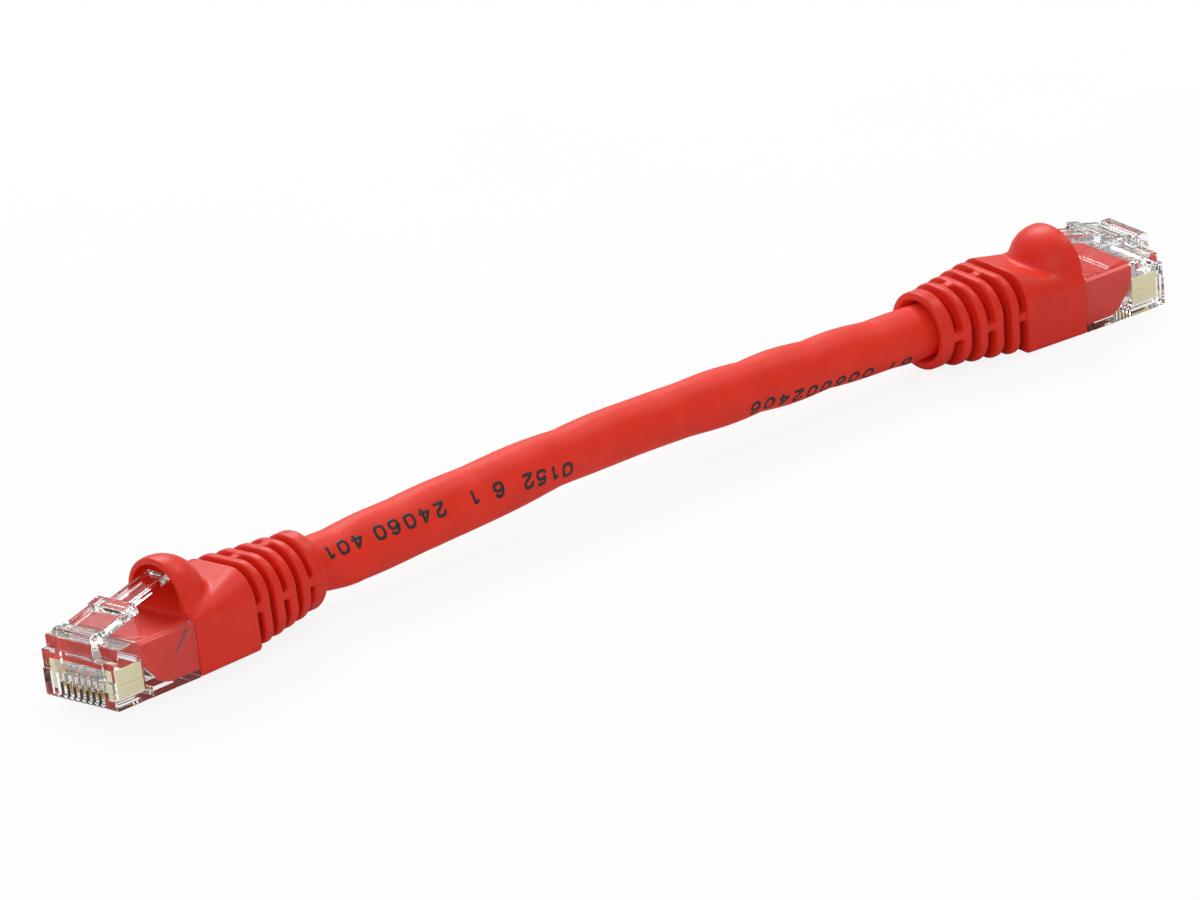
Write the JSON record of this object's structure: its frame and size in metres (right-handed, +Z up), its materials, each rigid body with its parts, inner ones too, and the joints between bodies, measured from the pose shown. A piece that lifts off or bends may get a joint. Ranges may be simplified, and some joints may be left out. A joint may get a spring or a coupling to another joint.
{
  "type": "ethernet patch cable",
  "caption": "Short four-pair network patch cord with a clear latched modular plug and a moulded, slotted snag-guard boot on each end.",
  "frame": {"origin": "bottom centre of the cord's bounding box at rest, on the plane the plugs rest on", "axes": "+X from plug A to plug B along the cord, +Y towards the outside of its gentle bow, +Z up with the latches up"},
  "size_m": [0.1527, 0.0134, 0.0126],
  "materials": {
    "clear_polycarbonate": "gloss",
    "cream_polycarbonate": "satin",
    "gold_plate": "polished",
    "boot_pvc": "satin",
    "jacket_pvc": "satin",
    "bare_copper": "stranded",
    "natural_polyethylene": "matte",
    "insulation_white": "satin",
    "insulation_orange": "satin",
    "insulation_blue": "satin",
    "insulation_brown": "satin",
    "insulation_green": "satin"
  },
  "bodies": {
    "plug_a": {"plug_a_housing": "clear_polycarbonate", "plug_a_load_bar": "cream_polycarbonate", "plug_a_contact_1": "gold_plate", "plug_a_contact_2": "gold_plate", "plug_a_contact_3": "gold_plate", "plug_a_contact_4": "gold_plate", "plug_a_contact_5": "gold_plate", "plug_a_contact_6": "gold_plate", "plug_a_contact_7": "gold_plate", "plug_a_contact_8": "gold_plate", "boot_a": "boot_pvc", "snag_guard_a": "boot_pvc", "jacket_length_01": "jacket_pvc", "insulation_white_orange": "insulation_white", "insulation_orange": "insulation_orange", "insulation_white_blue": "insulation_white", "insulation_blue": "insulation_blue", "insulation_white_brown": "insulation_white", "insulation_brown": "insulation_brown", "insulation_white_green": "insulation_white", "insulation_green": "insulation_green", "copper_white_orange": "bare_copper", "copper_orange": "bare_copper", "copper_white_blue": "bare_copper", "copper_blue": "bare_copper", "copper_white_brown": "bare_copper", "copper_brown": "bare_copper", "copper_white_green": "bare_copper", "copper_green": "bare_copper", "pair_separator": "natural_polyethylene"},
    "cord_02": {"jacket_length_02": "jacket_pvc"},
    "cord_03": {"jacket_length_03": "jacket_pvc"},
    "cord_04": {"jacket_length_04": "jacket_pvc"},
    "cord_05": {"jacket_length_05": "jacket_pvc"},
    "cord_06": {"jacket_length_06": "jacket_pvc"},
    "cord_07": {"jacket_length_07": "jacket_pvc"},
    "cord_08": {"jacket_length_08": "jacket_pvc"},
    "cord_09": {"jacket_length_09": "jacket_pvc"},
    "cord_10": {"jacket_length_10": "jacket_pvc"},
    "cord_11": {"jacket_length_11": "jacket_pvc"},
    "plug_b": {"jacket_length_12": "jacket_pvc", "plug_b_housing": "clear_polycarbonate", "plug_b_load_bar": "cream_polycarbonate", "plug_b_contact_1": "gold_plate", "plug_b_contact_2": "gold_plate", "plug_b_contact_3": "gold_plate", "plug_b_contact_4": "gold_plate", "plug_b_contact_5": "gold_plate", "plug_b_contact_6": "gold_plate", "plug_b_contact_7": "gold_plate", "plug_b_contact_8": "gold_plate", "boot_b": "boot_pvc", "snag_guard_b": "boot_pvc"},
    "latch_a": {"plug_a_latch": "clear_polycarbonate"},
    "latch_b": {"plug_b_latch": "clear_polycarbonate"}
  },
  "joints": [
    {"name": "cord_side_1", "type": "hinge", "parent": "plug_a", "child": "cord_02", "pos_m": [-0.04153, 0.00093, 0.00519], "axis": [0, 0, 1], "range_deg": [-30, 30], "stiffness_Nm_per_rad": 0.002, "deforming": ["insulation_white_orange", "insulation_orange", "insulation_white_blue", "insulation_blue", "insulation_white_brown", "insulation_brown", "insulation_white_green", "insulation_green", "copper_white_orange", "copper_orange", "copper_white_blue", "copper_blue", "copper_white_brown", "copper_brown", "copper_white_green", "copper_green", "pair_separator"]},
    {"name": "cord_up_1", "type": "hinge", "parent": "cord_02", "child": "cord_03", "pos_m": [-0.03323, 0.00119, 0.00555], "axis": [0.0279, -0.9996, 0], "range_deg": [-18, 18], "stiffness_Nm_per_rad": 0.002, "deforming": ["insulation_white_orange", "insulation_orange", "insulation_white_blue", "insulation_blue", "insulation_white_brown", "insulation_brown", "insulation_white_green", "insulation_green", "copper_white_orange", "copper_orange", "copper_white_blue", "copper_blue", "copper_white_brown", "copper_brown", "copper_white_green", "copper_green", "pair_separator"]},
    {"name": "cord_side_2", "type": "hinge", "parent": "cord_03", "child": "cord_04", "pos_m": [-0.02493, 0.00139, 0.0058], "axis": [0, 0, 1], "range_deg": [-30, 30], "stiffness_Nm_per_rad": 0.002},
    {"name": "cord_up_2", "type": "hinge", "parent": "cord_04", "child": "cord_05", "pos_m": [-0.01662, 0.00154, 0.00597], "axis": [0.014, -0.9999, 0], "range_deg": [-18, 18], "stiffness_Nm_per_rad": 0.002},
    {"name": "cord_side_3", "type": "hinge", "parent": "cord_05", "child": "cord_06", "pos_m": [-0.00831, 0.00162, 0.00604], "axis": [0, 0, 1], "range_deg": [-30, 30], "stiffness_Nm_per_rad": 0.002},
    {"name": "cord_up_3", "type": "hinge", "parent": "cord_06", "child": "cord_07", "pos_m": [0, 0.00165, 0.00602], "axis": [0, -1, 0], "range_deg": [-18, 18], "stiffness_Nm_per_rad": 0.002},
    {"name": "cord_side_4", "type": "hinge", "parent": "cord_07", "child": "cord_08", "pos_m": [0.00831, 0.00162, 0.0059], "axis": [0, 0, 1], "range_deg": [-30, 30], "stiffness_Nm_per_rad": 0.002},
    {"name": "cord_up_4", "type": "hinge", "parent": "cord_08", "child": "cord_09", "pos_m": [0.01662, 0.00154, 0.00569], "axis": [-0.014, -0.9999, 0], "range_deg": [-18, 18], "stiffness_Nm_per_rad": 0.002},
    {"name": "cord_side_5", "type": "hinge", "parent": "cord_09", "child": "cord_10", "pos_m": [0.02492, 0.00139, 0.00539], "axis": [0, 0, 1], "range_deg": [-30, 30], "stiffness_Nm_per_rad": 0.002},
    {"name": "cord_up_5", "type": "hinge", "parent": "cord_10", "child": "cord_11", "pos_m": [0.03322, 0.00119, 0.00499], "axis": [-0.0279, -0.9996, 0], "range_deg": [-18, 18], "stiffness_Nm_per_rad": 0.002},
    {"name": "cord_side_6", "type": "hinge", "parent": "cord_11", "child": "plug_b", "pos_m": [0.04151, 0.00093, 0.0045], "axis": [0, 0, 1], "range_deg": [-30, 30], "stiffness_Nm_per_rad": 0.002},
    {"name": "latch_a_press", "type": "hinge", "parent": "plug_a", "child": "latch_a", "pos_m": [-0.07442, 0, 0.00792], "axis": [-0.0381, 0.9918, -0.1219], "range_deg": [0, 12], "stiffness_Nm_per_rad": 0.05},
    {"name": "latch_b_press", "type": "hinge", "parent": "plug_b", "child": "latch_b", "pos_m": [0.07438, -0.00034, 0.00725], "axis": [-0.0384, -0.9993, 0], "range_deg": [0, 12], "stiffness_Nm_per_rad": 0.05}
  ],
  "couplings": [
    {"joint": "cord_side_2", "follows": "cord_side_1", "ratio": 1},
    {"joint": "cord_up_2", "follows": "cord_up_1", "ratio": 1},
    {"joint": "cord_side_3", "follows": "cord_side_1", "ratio": 1},
    {"joint": "cord_up_3", "follows": "cord_up_1", "ratio": 1},
    {"joint": "cord_side_4", "follows": "cord_side_1", "ratio": 1},
    {"joint": "cord_up_4", "follows": "cord_up_1", "ratio": 1},
    {"joint": "cord_side_5", "follows": "cord_side_1", "ratio": 1},
    {"joint": "cord_up_5", "follows": "cord_up_1", "ratio": 1},
    {"joint": "cord_side_6", "follows": "cord_side_1", "ratio": 1}
  ]
}
